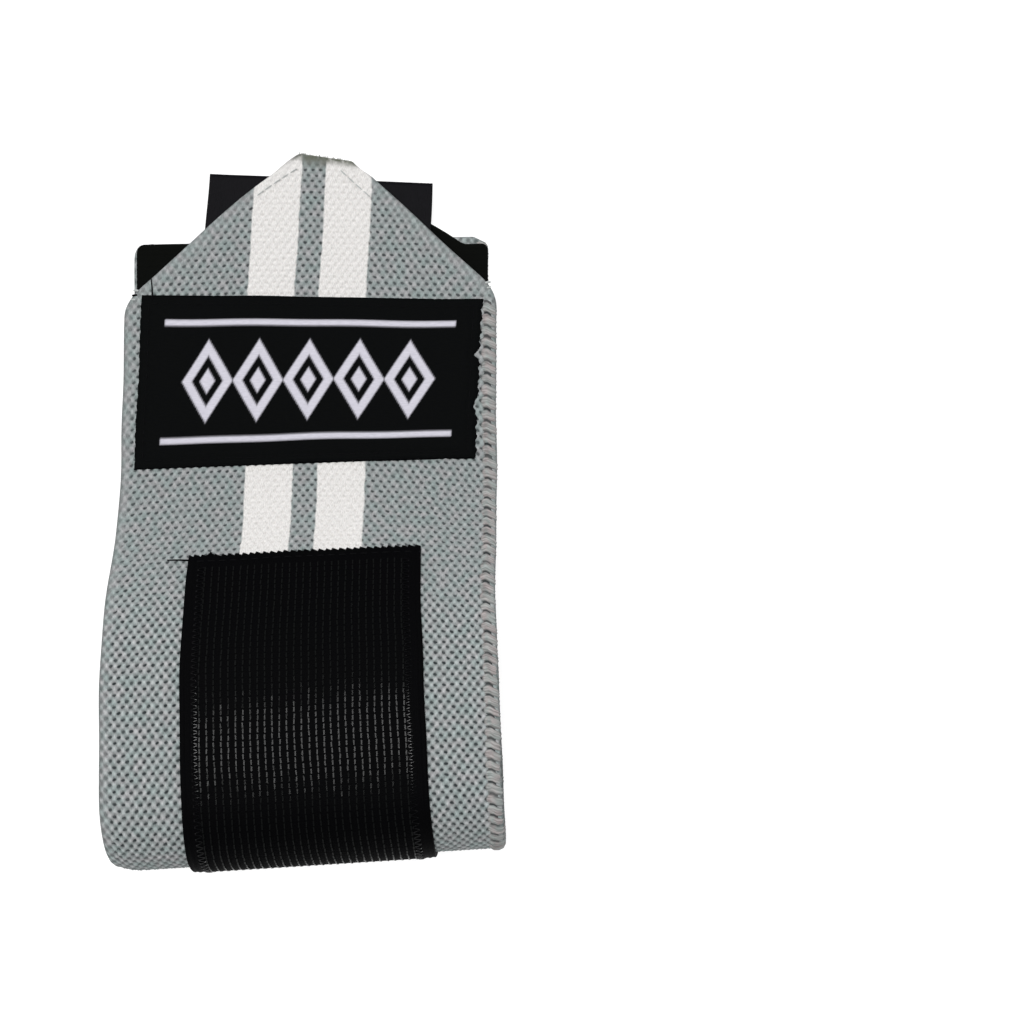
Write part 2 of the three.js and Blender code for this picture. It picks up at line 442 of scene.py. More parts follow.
def cloth_rings(across, along, top, bottom, edge, under, turns=4):
    """Closed rings round a strip of cloth, in band coordinates.

    across, along and top are grids of its upper face. Each ring crosses that face, rounds the right edge by
    half an ellipse that stands out by edge, comes back along fewer columns of the lower face and rounds
    the left edge.
    """
    angle = np.linspace(np.pi / 2, -np.pi / 2, turns + 2)[1:-1]
    back = np.linspace(across.shape[1] - 1, 0, under).round().astype(int)
    bottom = np.broadcast_to(bottom, across.shape)
    middle = (top + bottom) / 2
    depth = (top - bottom) / 2

    def rounded(column, side):
        sweep = angle if side > 0 else -angle
        reach = across[:, column, None] + side * edge * np.cos(sweep)
        height = middle[:, column, None] + depth[:, column, None] * np.sin(sweep)
        return reach, np.broadcast_to(along[:, column, None], reach.shape), height

    right = rounded(-1, 1)
    left = rounded(0, -1)
    below = (across[:, back], along[:, back], bottom[:, back])
    return [np.concatenate(parts, axis=1)[None] for parts in zip((across, along, top), right, below, left)]


def threads(across, along, out, radius, sides, level):
    """Round threads in band coordinates, one along each row of the arrays.

    At each point of a path a ring stands at right angles to it. The ring's first axis is the cross product
    of the path's direction and level, a direction that the path never takes.
    """
    path = np.stack([across, along, out], axis=-1)
    ahead = np.gradient(path, axis=1)
    ahead /= np.linalg.norm(ahead, axis=-1, keepdims=True)
    first = np.cross(ahead, level)
    first /= np.linalg.norm(first, axis=-1, keepdims=True)
    second = np.cross(first, ahead)
    turn = np.linspace(0, 2 * np.pi, sides, endpoint=False)[:, None]
    ring = np.cos(turn) * first[..., None, :] + np.sin(turn) * second[..., None, :]
    solid = path[..., None, :] + np.broadcast_to(radius, across.shape)[..., None, None] * ring
    return on_band(solid[..., 0], solid[..., 1], solid[..., 2])


def seam(corners, height, pitch, radius, swing=0.0):
    """A row of stitches along the straight lines between corners, each an across and an along.

    A stitch is a short thread that rises from the cloth and dips back into it: its height falls with the
    fourth power of the distance from its middle. swing turns the stitches into a zigzag.
    """
    corners = np.array(corners, dtype=float)
    run = np.concatenate([[0], np.cumsum(np.linalg.norm(np.diff(corners, axis=0), axis=1))])
    count = max(1, round(run[-1] / pitch))
    step = np.linspace(-1, 1, 6)
    place = (np.arange(count)[:, None] + 0.5 + 0.4 * step) * run[-1] / count
    across = np.interp(place, run, corners[:, 0])
    along = np.interp(place, run, corners[:, 1])
    sideways = swing * step * np.where(np.arange(count) % 2, 1, -1)[:, None]
    lean = np.linalg.norm(corners[-1] - corners[0])
    across = across + sideways * (corners[-1, 1] - corners[0, 1]) / max(lean, 1e-9)
    along = along - sideways * (corners[-1, 0] - corners[0, 0]) / max(lean, 1e-9)
    out = height + radius * (0.7 - 1.6 * step**4) + np.zeros_like(place)
    thick = radius * (1 - 0.45 * step**4) + np.zeros_like(place)
    return threads(across, along, out, thick, 6, (0, 0, 1))


def sewn_place(size, own_across, share):
    """Across and along on the band of places on a sewn piece.

    share goes from 0 at the piece's far end to 1 at the end nearer the tip. The sides shift and spread with
    it, and the ends slant.
    """
    slant = blend(size["slant"][1], size["slant"][0], share)
    shift = blend(size["shift"][1], size["shift"][0], share)
    along = BAND_LENGTH - size["start"] + (share - 1) * size["length"] + slant * own_across
    return shift + own_across * (1 + size["spread"] * (1 - share)), along


def sewn_grid(size, step_across, step_along):
    """Places over a sewn piece: its own across and along, counted from its far end, and those on the band."""
    columns = np.linspace(-1, 1, round(size["width"] / step_across) + 1) * size["width"] / 2
    rows = np.linspace(0, 1, round(size["length"] / step_along) + 1)
    own_across, share = np.meshgrid(columns, rows)
    return own_across, share * size["length"], *sewn_place(size, own_across, share)


def border(own_across, own_along, size):
    """Distance of each place on a sewn piece from its nearest edge."""
    side = size["width"] / 2 - np.abs(own_across)
    end = np.minimum(own_along, size["length"] - own_along)
    return np.minimum(side, end)


def numbers(rows, columns):
    """Every pair of a row's and a column's number, as two upright lists."""
    return np.indices((rows, columns)).reshape(2, -1, 1)


# Materials. Their noise counts per millimetre on a piece's own UV map, and per metre on Object coordinates


def webbing_material():
    """Woven polyester elastic: matt grey yarn with a dark pit between each four beads, and two bleached
    stripes whose pits hardly darken. The yarn wanders between a greenish and a pinkish grey, bead by bead,
    and the pits lean apart to the left and the right of the band's middle. Painted shade makes each bead
    lighter on its crest and darker between the beads, and darkens the band along its sides."""
    made, tree, shader = new_material("woven_polyester_elastic", Roughness=0.9, Specular_IOR_Level=0.1)
    place = node(tree, "UVMap", uv_map="cloth")
    opening = node(tree, "Attribute", attribute_name="opening")
    bead_shading = node(tree, "Attribute", attribute_name="bead_shading")
    raw = node(tree, "Attribute", attribute_name="raw")
    rim = node(tree, "Attribute", attribute_name="rim")
    drift = node(tree, "TexNoise", {"Vector": place, "Scale": 0.55, "Detail": 2.0})
    offset = node(tree, "VectorMath", {0: drift.outputs["Color"], 1: (0.5, 0.5, 0.5)}, operation="SUBTRACT")
    moved = node(tree, "VectorMath", {0: offset, 1: (0.6, 0.6, 0), 2: place}, operation="MULTIPLY_ADD")
    split = node(tree, "SeparateXYZ", {0: moved})
    beads = node(tree, "Math", {0: split.outputs["X"], 1: 2 * math.pi / BEAD_PITCH}, operation="MULTIPLY")
    rows = node(tree, "Math", {0: split.outputs["Y"], 1: 2 * math.pi / ROW_PITCH}, operation="MULTIPLY")
    bead_wave = node(tree, "Math", {0: beads}, operation="COSINE")
    row_wave = node(tree, "Math", {0: rows}, operation="COSINE")
    lattice = node(tree, "Math", {0: bead_wave, 1: row_wave}, operation="MULTIPLY")
    # A pit's measure is 0 in its middle and 1 on its outline, from how far each wave is from its crest
    wide = 1 / (1 - math.cos(math.pi * PIT_WIDTH / BEAD_PITCH))
    high = 1 / (1 - math.cos(math.pi * PIT_HEIGHT / ROW_PITCH))
    bead_size = node(tree, "Math", {0: bead_wave}, operation="ABSOLUTE")
    row_size = node(tree, "Math", {0: row_wave}, operation="ABSOLUTE")
    measure = node(tree, "Math", {0: bead_size, 1: -wide, 2: wide + high}, operation="MULTIPLY_ADD")
    measure = node(tree, "Math", {0: row_size, 1: -high, 2: measure}, operation="MULTIPLY_ADD")
    bead_slope = node(tree, "Math", {0: beads}, operation="SINE")
    row_slope = node(tree, "Math", {0: rows}, operation="SINE")
    twist = node(tree, "Math", {0: bead_slope, 1: row_slope}, operation="MULTIPLY")
    lean = node(tree, "MapRange", {
        "Value": split.outputs["X"], "From Min": -PIT_LEAN_REACH, "From Max": PIT_LEAN_REACH,
        "To Min": PIT_LEAN, "To Max": -PIT_LEAN,
    })
    measure = node(tree, "Math", {0: twist, 1: lean, 2: measure}, operation="MULTIPLY_ADD")
    spot = node(
        tree, "MapRange", {"Value": measure, "From Min": 1.5, "From Max": 0.35},
        interpolation_type="SMOOTHSTEP",
    )
    sunk = node(tree, "Math", {0: lattice, 1: 0.0}, operation="LESS_THAN")
    uneven = node(tree, "TexNoise", {"Vector": place, "Scale": 0.8, "Detail": 2.0})
    depth = node(tree, "MapRange", {
        "Value": uneven, "From Min": 0.35, "From Max": 0.6, "To Min": 0.6, "To Max": 0.95,
    })
    pit = node(tree, "Math", {0: spot, 1: sunk}, operation="MULTIPLY")
    pit = node(tree, "Math", {0: pit, 1: depth}, operation="MULTIPLY")
    pit = node(tree, "Math", {0: pit, 1: opening.outputs["Fac"]}, operation="MULTIPLY")
    stripe = node(tree, "Math", {0: split.outputs["X"], 1: STRIPE_MIDDLE}, operation="SUBTRACT")
    stripe = node(tree, "Math", {0: stripe}, operation="ABSOLUTE")
    inside, outside = STRIPE_GAP / 2, STRIPE_GAP / 2 + STRIPE_WIDTH
    begun, ended = (
        node(tree, "MapRange", {"Value": stripe, "From Min": at - STRIPE_SOFT, "From Max": at + STRIPE_SOFT})
        for at in (inside, outside)
    )
    white = node(tree, "Math", {0: begun, 1: ended}, operation="SUBTRACT")
    shade = node(tree, "TexNoise", {"Vector": place, "Scale": 0.4, "Detail": 2.0})
    hue = node(tree, "MapRange", {"Value": shade, "From Min": 0.35, "From Max": 0.65})
    grey = node(tree, "Mix", {"Factor": hue, "A": tone("#8c9695"), "B": tone("#969798")}, data_type="RGBA")
    # Painted shade on the beads: the yarn is lighter on each bead's crest and darker between beads, less so
    # where the weave lies flat
    crest = node(tree, "MapRange", {
        "Value": lattice, "From Min": -0.6, "From Max": 0.9, "To Min": -0.29, "To Max": 0.43,
    })
    crest = node(tree, "Math", {0: crest, 1: bead_shading.outputs["Fac"], 2: 0.89}, operation="MULTIPLY_ADD")
    worn = node(tree, "MapRange", {
        "Value": uneven, "From Min": 0.35, "From Max": 0.65, "To Min": 0.88, "To Max": 1.12,
    })
    crest = node(tree, "Math", {0: crest, 1: worn}, operation="MULTIPLY")
    grey = node(tree, "Mix", {"Factor": 1.0, "A": grey, "B": crest}, data_type="RGBA", blend_type="MULTIPLY")
    yarn = node(tree, "Mix", {"Factor": white, "A": grey, "B": tone("#d5d3d1")}, data_type="RGBA")
    hollow = node(
        tree, "Mix", {"Factor": white, "A": tone("#23292b"), "B": tone("#c8c5c2")}, data_type="RGBA"
    )
    colour = node(tree, "Mix", {"Factor": pit, "A": yarn, "B": hollow}, data_type="RGBA")
    strands = node(tree, "Mapping", {"Vector": place, "Scale": (5.0, 1.8, 1.0)})
    fibre = node(tree, "TexNoise", {"Vector": strands, "Scale": 1.0, "Detail": 3.0})
    flecks = node(tree, "MapRange", {
        "Value": fibre, "From Min": 0.3, "From Max": 0.7, "To Min": 0.82, "To Max": 1.16,
    })
    colour = node(
        tree, "Mix", {"Factor": 1.0, "A": colour, "B": flecks}, data_type="RGBA", blend_type="MULTIPLY"
    )
    patches = node(tree, "MapRange", {
        "Value": uneven, "From Min": 0.3, "From Max": 0.55, "To Min": 0.55, "To Max": 1.0,
    })
    frayed = node(tree, "Math", {0: raw.outputs["Fac"], 1: patches}, operation="MULTIPLY")
    colour = node(tree, "Mix", {"Factor": frayed, "A": colour, "B": tone("#5e6157")}, data_type="RGBA")
    # Painted shade: the yarn darkens towards the band's sides and the tip's slanted sides, where the rounded
    # edge turns from the light
    edge = node(tree, "MapRange", {"Value": rim.outputs["Fac"], "To Min": 1.0, "To Max": 0.6})
    colour = node(
        tree, "Mix", {"Factor": 1.0, "A": colour, "B": edge}, data_type="RGBA", blend_type="MULTIPLY"
    )
    height = node(tree, "Math", {0: lattice, 1: 0.6, 2: fibre}, operation="MULTIPLY_ADD")
    bump = node(tree, "Bump", {"Strength": 0.7, "Distance": 0.00025, "Height": height})
    tree.links.new(colour.outputs[2], shader.inputs["Base Color"])
    tree.links.new(bump.outputs[0], shader.inputs["Normal"])
    return made


def edge_yarn_material():
    """Overcast edge of the webbing: pinkish grey yarn in fine strands, with painted shade in the slit between
    its ribs.
    """
    made, tree, shader = new_material("overcast_polyester_yarn", Roughness=0.9, Specular_IOR_Level=0.1)
    place = node(tree, "UVMap", uv_map="cloth")
    slit = node(tree, "Attribute", attribute_name="slit")
    shade = node(tree, "TexNoise", {"Vector": place, "Scale": 0.5, "Detail": 2.0})
    hue = node(tree, "MapRange", {"Value": shade, "From Min": 0.35, "From Max": 0.65})
    yarn = node(tree, "Mix", {"Factor": hue, "A": tone("#929896"), "B": tone("#9d9695")}, data_type="RGBA")
    stretched = node(tree, "Mapping", {"Vector": place, "Scale": (0.35, 2.6, 1.0)})
    strand = node(tree, "TexNoise", {"Vector": stretched, "Scale": 1.0, "Detail": 2.0})
    streak = node(tree, "MapRange", {
        "Value": strand, "From Min": 0.3, "From Max": 0.65, "To Min": 0.52, "To Max": 1.15,
    })
    yarn = node(tree, "Mix", {"Factor": 1.0, "A": yarn, "B": streak}, data_type="RGBA", blend_type="MULTIPLY")
    # Painted shade: the slit between two ribs is coloured dark grey
    colour = node(
        tree, "Mix", {"Factor": slit.outputs["Fac"], "A": yarn, "B": tone("#2c3031")}, data_type="RGBA"
    )
    bump = node(tree, "Bump", {"Strength": 0.7, "Distance": 0.0002, "Height": strand})
    tree.links.new(colour.outputs[2], shader.inputs["Base Color"])
    tree.links.new(bump.outputs[0], shader.inputs["Normal"])
    return made


def label_material():
    """Damask label: a black satin ground with a figure in pale thread, both ruled by the fine weft."""
    made, tree, shader = new_material("damask_woven_label", Roughness=0.7, Specular_IOR_Level=0.03)
    place = node(tree, "UVMap", uv_map="cloth")
    figure = node(tree, "Attribute", attribute_name="figure")
    stretched = node(tree, "Mapping", {"Vector": place, "Scale": (0.7, 4.0, 1.0)})
    weft = node(tree, "TexNoise", {"Vector": stretched, "Scale": 1.0, "Detail": 3.0})
    pale = node(tree, "Mix", {"Factor": weft, "A": tone("#a9a7b2"), "B": tone("#cfcdd6")}, data_type="RGBA")
    dark = node(tree, "Mix", {"Factor": weft, "A": tone("#020303"), "B": tone("#070809")}, data_type="RGBA")
    colour = node(tree, "Mix", {"Factor": figure.outputs["Fac"], "A": dark, "B": pale}, data_type="RGBA")
    bump = node(tree, "Bump", {"Strength": 0.5, "Distance": 0.0001, "Height": weft})
    tree.links.new(colour.outputs[2], shader.inputs["Base Color"])
    tree.links.new(bump.outputs[0], shader.inputs["Normal"])
    return made


def black_tape_material(name, dark, light, roughness, specular, ruling):
    """Black nylon or elastic tape whose threads catch the light. ruling is how many millimetres apart they
    are across and along."""
    made, tree, shader = new_material(name, Roughness=roughness, Specular_IOR_Level=specular)
    place = node(tree, "UVMap", uv_map="cloth")
    scale = (1 / ruling[0], 1 / ruling[1], 1.0)
    stretched = node(tree, "Mapping", {"Vector": place, "Scale": scale})
    thread = node(tree, "TexNoise", {"Vector": stretched, "Scale": 1.0, "Detail": 2.0})
    colour = node(tree, "Mix", {"Factor": thread, "A": tone(dark), "B": tone(light)}, data_type="RGBA")
    bump = node(tree, "Bump", {"Strength": 0.7, "Distance": 0.00015, "Height": thread})
    tree.links.new(colour.outputs[2], shader.inputs["Base Color"])
    tree.links.new(bump.outputs[0], shader.inputs["Normal"])
    return made


def thread_material(name, dark, light, roughness, specular):
    """Twisted sewing thread: two near tones in short flecks."""
    made, tree, shader = new_material(name, Roughness=roughness, Specular_IOR_Level=specular)
    place = node(tree, "TexCoord")
    fleck = node(tree, "TexNoise", {"Vector": place.outputs["Object"], "Scale": 2500.0, "Detail": 1.0})
    colour = node(tree, "Mix", {"Factor": fleck, "A": tone(dark), "B": tone(light)}, data_type="RGBA")
    tree.links.new(colour.outputs[2], shader.inputs["Base Color"])
    return made


# Pieces


def weave(across, along, opening):
    """Height of the weave over the webbing's face: a product of two cosines, 1 on a bead and -1 in a pit."""
    lattice = np.cos(2 * np.pi * across / BEAD_PITCH) * np.cos(2 * np.pi * along / ROW_PITCH)
    pits = np.clip(-lattice, 0, 1) ** 1.5 * random.uniform(0.7, 1.15, lattice.shape)
    return BEAD_RISE * (lattice - 1) - PIT_DEPTH * pits * opening


def weft(across, along):
    """Where a place lies in the weave, counted along the band.

    Past the label the rows come closer together and lean, and they bow across the band: a square of across,
    one way on the fold and the other way on the slope.
    """
    past_label = np.clip(BAND_LENGTH - LABEL["start"] - LABEL["length"] - along, 0, CLOSER_REACH)
    bow = np.clip(BOW_GROWTH * (along - DOME_START - BOW_TURN), *BOW_LIMITS)
    bow = bow - BOW_LOSS * smoothstep(along - SAG_END, *BOW_LOSS_SPAN)
    lean = WEFT_LEAN * smoothstep(past_label, 0, LEAN_REACH)
    return along - WEFT_CLOSER * past_label + bow * (2 * across / BAND_WIDTH) ** 2 - lean * across


def flat_share(along):
    """How flat the weave lies along the band: 0 on the fold and the slope, 1 from the sag on."""
    return smoothstep(along - SAG_END, *FLAT_SPAN)


def pit_opening(across, along):
    """How open the weave's pits are, from 0 to 1: shut on both selvages and at the cut end, and partly shut
    along the sides of the tip, which are sewn double, from the sag to the tip and on the fold's front."""
    from_left = across + band_half(along, -1)
    from_right = band_half(along, 1) - across
    inside = smoothstep(from_left, *LEFT_SELVAGE) * smoothstep(from_right, *RIGHT_SELVAGE)
    before_cut = smoothstep(BAND_LENGTH - along, *CUT_SPAN)
    beside = 1 - smoothstep(np.minimum(from_left, from_right), *DOUBLED_SPAN)
    doubled = smoothstep(along - TIP_START, -2, 2) * beside
    front = 1 - smoothstep(along - FOLD_MIDDLE, *FRONT_SPAN)
    left_open = (1 - DOUBLED_SHUT * doubled) * (1 - FLAT_SHUT * flat_share(along)) * (1 - FRONT_SHUT * front)
    return inside * before_cut * left_open


def tip_cut(across):
    """How far the slanted cut at the end of the tip lies past the band's nominal length."""
    return TIP_CUT_SLOPE * (across - TIP_ASIDE)


def end_flare(across):
    """How far the far end stands out past its straight cut: most at the right, and less than nothing on the
    left, where the strap's seam draws it in."""
    drawn_in = smoothstep(across, *DRAW_BEGINS) * (1 - smoothstep(across, *DRAW_ENDS))
    return END_FLARE * smoothstep(across, *FLARE_SPAN) - SEAM_DRAW * drawn_in


def wrap_band(material):
    """The webbing: a grid with four columns and four rows to a bead, or two rows on the back layer, cut off
    at the band's outline, along the slanted end of the tip and at the flared far end, and closed by a plainer
    inner face."""
    back = np.arange(0, BACK_RUN, ROW_PITCH / 2)
    front = np.arange(len(back) * ROW_PITCH / 2, BAND_LENGTH, ROW_PITCH / 4)
    rows = np.concatenate([back, front, [BAND_LENGTH]])
    reach = math.ceil(BAND_WIDTH / 2 / (BEAD_PITCH / 4))
    columns = np.arange(-reach, reach + 1) * BEAD_PITCH / 4
    left = band_half(rows, -1)[:, None] - EDGE_ROUND
    right = band_half(rows, 1)[:, None] - EDGE_ROUND
    across = np.clip(columns[None, :], -left, right)
    along = np.broadcast_to(rows[:, None], across.shape)
    from_edge = np.minimum(right - across, across + left)
    from_end = np.minimum(along, BAND_LENGTH - along)
    fade = np.clip(np.minimum(from_edge, from_end) / WEAVE_FADE, 0, 1)
    top = BAND_THICK / 2 + weave(across, weft(across, along), pit_opening(across, along)) * fade
    at_cut = smoothstep(along, BAND_LENGTH - TIP_CUT_REACH, BAND_LENGTH)
    at_end = 1 - smoothstep(along, 0, FLARE_REACH)
    along = along + at_cut * tip_cut(across) - at_end * end_flare(across)
    bottom = -inner_depth(rows[:, None])
    across, along, out = cloth_rings(across, along, top, bottom, EDGE_ROUND, INNER_COLUMNS)
    from_cut = BAND_LENGTH + tip_cut(across) - along
    grey_middle = 1 - smoothstep(np.abs(across - STRIPE_MIDDLE) - STRIPE_GAP / 2, -0.4, 0.4)
    from_side = np.minimum(across + band_half(along, -1), band_half(along, 1) - across)
    marks = {
        "opening": pit_opening(across, along),
        # How strong the painted shade on the beads is
        "bead_shading": 1 - FLAT_BEAD_SHADING_LOSS * flat_share(along),
        "raw": 1 - smoothstep(from_cut, FRAY_SPAN[0], FRAY_SPAN[1] + FRAY_MORE * grey_middle),
        # Painted shade along the band's sides
        "rim": 1 - smoothstep(from_side, 0, EDGE_SHADE_WIDTH),
    }
    uv = np.stack([across, weft(across, along)], axis=-1)
    made = make_piece("webbing_band", on_band(across, along, out), material, uv, marks)
    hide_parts("wrap_band")
    return made


def edge_ribs(material):
    """Overcast ribs over the band's right edge: a profile that wraps the edge from face to face, carried
    along it. A slit narrows it between each two ribs, ripples part a rib into strands, and every ring slants
    back along the band as it goes over the edge. A rib's inner end is a parabola that reaches furthest in its
    middle. On the back layer the ribs are flat where they meet the table."""
    rows = np.arange(RIB_FIRST, TIP_START - RIB_SHORT, ROW_PITCH / RIB_STEPS)[:, None]
    wrap = np.linspace(0, 1, 14)[None, :]
    woven = weft(band_half(rows, 1), rows)
    turn = (woven - woven.min()) / ROW_PITCH + 0.5 + RIB_WANDER * (np.sin(1.7 * rows) + np.sin(0.61 * rows))
    swell = random.uniform(0.75, 1.15, int(turn.max()) + 1)[turn.astype(int)]
    over = smoothstep(wrap, SLANT_BEGINS, EDGE_ENDS)
    from_middle = np.abs(turn % 1 - 0.5) * 2
    uneven = 0.9 + 0.1 * np.sin(2.3 * np.round(turn))
    slit = uneven * smoothstep(from_middle, *SLIT_SPAN) * (1 - 0.5 * smoothstep(wrap, *SLIT_FADE))
    slit = slit * smoothstep(wrap, 0, SLIT_BEGINS)
    strands = STRAND_RISE * np.cos(2 * np.pi * RIB_STRANDS * turn) * over
    ends = smoothstep(wrap, 0, 0.26) * (1 - smoothstep(wrap, 0.86, 1))
    rise = (RIB_RISE * swell * (1 - 0.95 * slit) + strands) * ends - RIB_SUNK * (1 - ends)
    bend = np.pi * np.clip((wrap - EDGE_BEGINS) / (EDGE_ENDS - EDGE_BEGINS), 0, 1)
    scallop = RIB_SCALLOP * (1 - 1.6 * from_middle**2) * swell
    inward = (RIB_WIDTH - EDGE_ROUND + scallop) * np.clip(1 - wrap / EDGE_BEGINS, 0, 1)
    inward = inward + RIB_INNER * np.clip((wrap - EDGE_ENDS) / (1 - EDGE_ENDS), 0, 1)
    clear = blend(RIB_FLAT, 1, smoothstep(rows - BACK_RUN, 2, 14))
    edge = band_half(rows, 1) - EDGE_ROUND - RIB_RISE
    along = rows - RIB_SLANT * over
    across = edge - inward + (EDGE_ROUND + rise) * np.sin(bend)
    out = (BAND_THICK / 2 + rise * clear) * np.cos(bend)
    core = np.arange(12, 0, -1)
    ring_across = np.concatenate([across, blend(across, edge - 0.5, 0.5)[:, core]], axis=1)[None]
    ring_along = np.concatenate([along, along[:, core]], axis=1)[None]
    ring_out = np.concatenate([out, 0.5 * out[:, core]], axis=1)[None]
    marks = {"slit": np.concatenate([slit, slit[:, core]], axis=1)}
    round_the_edge = np.broadcast_to(6 * np.concatenate([wrap, wrap[:, core]], axis=1), ring_across.shape)
    uv = np.stack([round_the_edge, np.broadcast_to(rows, ring_across.shape)], axis=-1)
    points = on_band(ring_across, ring_along, ring_out)
    return make_piece("edge_ribs", points, material, uv, marks)


def label_figure(across, down):
    """The label's figure, from 0 to 1: a row of lozenges, each a frame round a core, between two lines.

    A lozenge's measure is the sum of the shares of its half width and half height, 1 on its outline.
    """
    wide, high = LOZENGE_HALF_WIDTH, LOZENGE_HALF_HEIGHT
    from_middle = np.abs(down - LABEL["length"] / 2)
    cell = np.clip(np.round(across / (2 * wide)), -(LOZENGES // 2), LOZENGES // 2) * 2 * wide
    measure = np.abs(across - cell) / wide + from_middle / high
    slope = wide * high / math.hypot(wide, high)
    outer = np.minimum(1 - measure, measure - LOZENGE_FRAME) * slope
    core = (LOZENGE_CORE - measure) * slope
    line = np.minimum(
        LINE_HALF_WIDTH - np.abs(from_middle - LINE_FROM_MIDDLE), LINE_HALF_LENGTH - np.abs(across)
    )
    inside = np.maximum(np.maximum(outer, core), line)
    return np.clip(inside / FIGURE_SOFT + 0.5, 0, 1)


def label(material):
    """The woven label: a fine grid pressed into the webbing along its seam, with its figure a little raised.
    Its cut edges follow the beads under them, and two of its right edge's places are pulled in."""
    own_across, own_along, across, along = sewn_grid(LABEL, 0.3, 0.3)
    inset = border(own_across, own_along, LABEL)
    down = LABEL["length"] - own_along
    figure = label_figure(own_across, down)
    at_low_end = 1 - np.clip(own_along / 1.5, 0, 1)
    along = along + 0.13 * at_low_end * np.cos(2 * np.pi * across / BEAD_PITCH)
    at_side = np.clip(np.abs(own_across) - LABEL["width"] / 2 + 4, 0, 4) / 4
    notch = sum(np.exp(-((down - place) / NOTCH_WIDTH) ** 2) for place in LABEL_NOTCHES)
    ragged = 0.16 * np.sin(down * 1.9) + 0.12 * np.sin(down * 4.3 + 1)
    across = across + at_side * np.where(own_across > 0, ragged - NOTCH_DEPTH * notch, 0.4 * ragged)
    press = 0.2 * (1 - smoothstep(inset, 0, 1.0)) + 0.1 * np.exp(-((inset - LABEL_SEAM) / 0.5) ** 2)
    top = BAND_THICK / 2 + LABEL_HEIGHT + FIGURE_RISE * figure - press
    rings = cloth_rings(across, along, top, BAND_THICK / 2 - LABEL_HEIGHT, 0.1, 24)
    bare = np.zeros((len(figure), rings[0].shape[-1] - figure.shape[1]))
    marks = {"figure": np.concatenate([figure, bare], axis=1)}
    uv = np.stack(rings[:2], axis=-1)
    made = make_piece("woven_label", on_band(*rings), material, uv, marks)
    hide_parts("label")
    return made


def hook_tape(material):
    """The hook tape's woven ground: a strip with fine crosswise ribs and a few raised lines along its plain
    sides, each a cosine, sewn down at its rim. Its cut end has a tooth to each row of hooks, and one thread
    stands out. A last ring, down in the webbing, closes the cut end tooth by tooth."""
    own_across, own_along, across, along = sewn_grid(HOOK_TAPE, 0.25, 0.4)
    inset = border(own_across, own_along, HOOK_TAPE)
    from_side = HOOK_TAPE["width"] / 2 - np.abs(own_across)
    from_tip_end = HOOK_TAPE["length"] - own_along
    nib = NIB_LENGTH * np.exp(-((own_across - NIB_PLACE) / NIB_WIDTH) ** 2)
    teeth = TAPE_TOOTH * (1 - own_across / HOOK_ROW_PITCH % 1) + nib
    along = along + teeth * (1 - np.clip(from_tip_end / 1.5, 0, 1))
    press = 0.2 * (1 - smoothstep(from_tip_end, 0, 1.2)) + 0.1 * (1 - smoothstep(inset, 0, 1.0))
    ribs = 0.05 * np.cos(2 * np.pi * own_along / TAPE_RIB_PITCH)
    lines = 0.06 * np.cos(2 * np.pi * from_side / TAPE_LINE_PITCH)
    top = BAND_THICK / 2 + TAPE_GROUND + np.where(from_side < TAPE_SIDE, lines, ribs) - press
    underside = BAND_THICK / 2 - TAPE_SUNK
    rings = cloth_rings(across, along, top, underside, 0.25, 24)
    rings = [np.concatenate([part, part[:, -1:]], axis=1) for part in rings]
    rings[2][:, -1] = np.minimum(rings[2][:, -1], underside + 0.1)
    uv = np.stack(rings[:2], axis=-1)
    made = make_piece("hook_tape_ground", on_band(*rings), material, uv)
    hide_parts("hook_tape")
    return made


def hooks(material):
    """Hooks of the hook tape in lengthwise rows: each a flat ribbon that stands up, lies down and dips again,
    with a box section whose top mirrors a light as one. Each hook leans, tilts and rolls a little its own
    way, and the tilt grows across the tape."""
    row, number = numbers(HOOK_ROWS, int((HOOK_TAPE["length"] - HOOK_MARGIN) / HOOK_PITCH))
    own_along = number * HOOK_PITCH + HOOK_FIRST
    share = own_along / HOOK_TAPE["length"] + random.uniform(-0.001, 0.001, row.shape)
    own_across = (row - (HOOK_ROWS - 1) / 2) * HOOK_ROW_PITCH + random.uniform(-0.05, 0.05, row.shape)
    across, along = sewn_place(HOOK_TAPE, own_across, share)
    reach, height = np.array(HOOK_LINE).T
    lean = random.uniform(-HOOK_LEAN, HOOK_LEAN, row.shape)
    tilt = random.normal(0, HOOK_TILT, row.shape) + HOOK_TWIST * own_across
    across = across + lean * reach
    along = along + reach - reach.max() / 2
    out = BAND_THICK / 2 + TAPE_GROUND + height + tilt * (reach - reach.max() / 2)
    sides = np.array([(-1, -1), (1, -1), (1, 1), (-1, 1)]) * (HOOK_WIDTH / 2, HOOK_THICK / 2)
    roll = random.normal(0, HOOK_ROLL, row.shape)[..., None] * sides[:, 0]
    points = on_band(
        across[..., None] + sides[:, 0], along[..., None] + np.zeros(4), out[..., None] + sides[:, 1] + roll
    )
    return make_piece("hooks", points, material, smooth=False)


def loop_tape(material):
    """The loop tape under the tip: a strip with a smooth woven back, and raised lines along its sides."""
    own_across, own_along, across, along = sewn_grid(LOOP_TAPE, 0.35, 0.8)
    from_side = LOOP_TAPE["width"] / 2 - np.abs(own_across)
    lines = 0.07 * np.cos(2 * np.pi * from_side / 0.7) * (from_side < 2.8)
    seat = -inner_depth(along) - GAP
    rings = cloth_rings(across, along, seat + 0.1 + lines, seat - 0.55, 0.3, 30)
    uv = np.stack(rings[:2], axis=-1)
    made = make_piece("loop_tape_ground", on_band(*rings), material, uv)
    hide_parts("loop_tape")
    return made


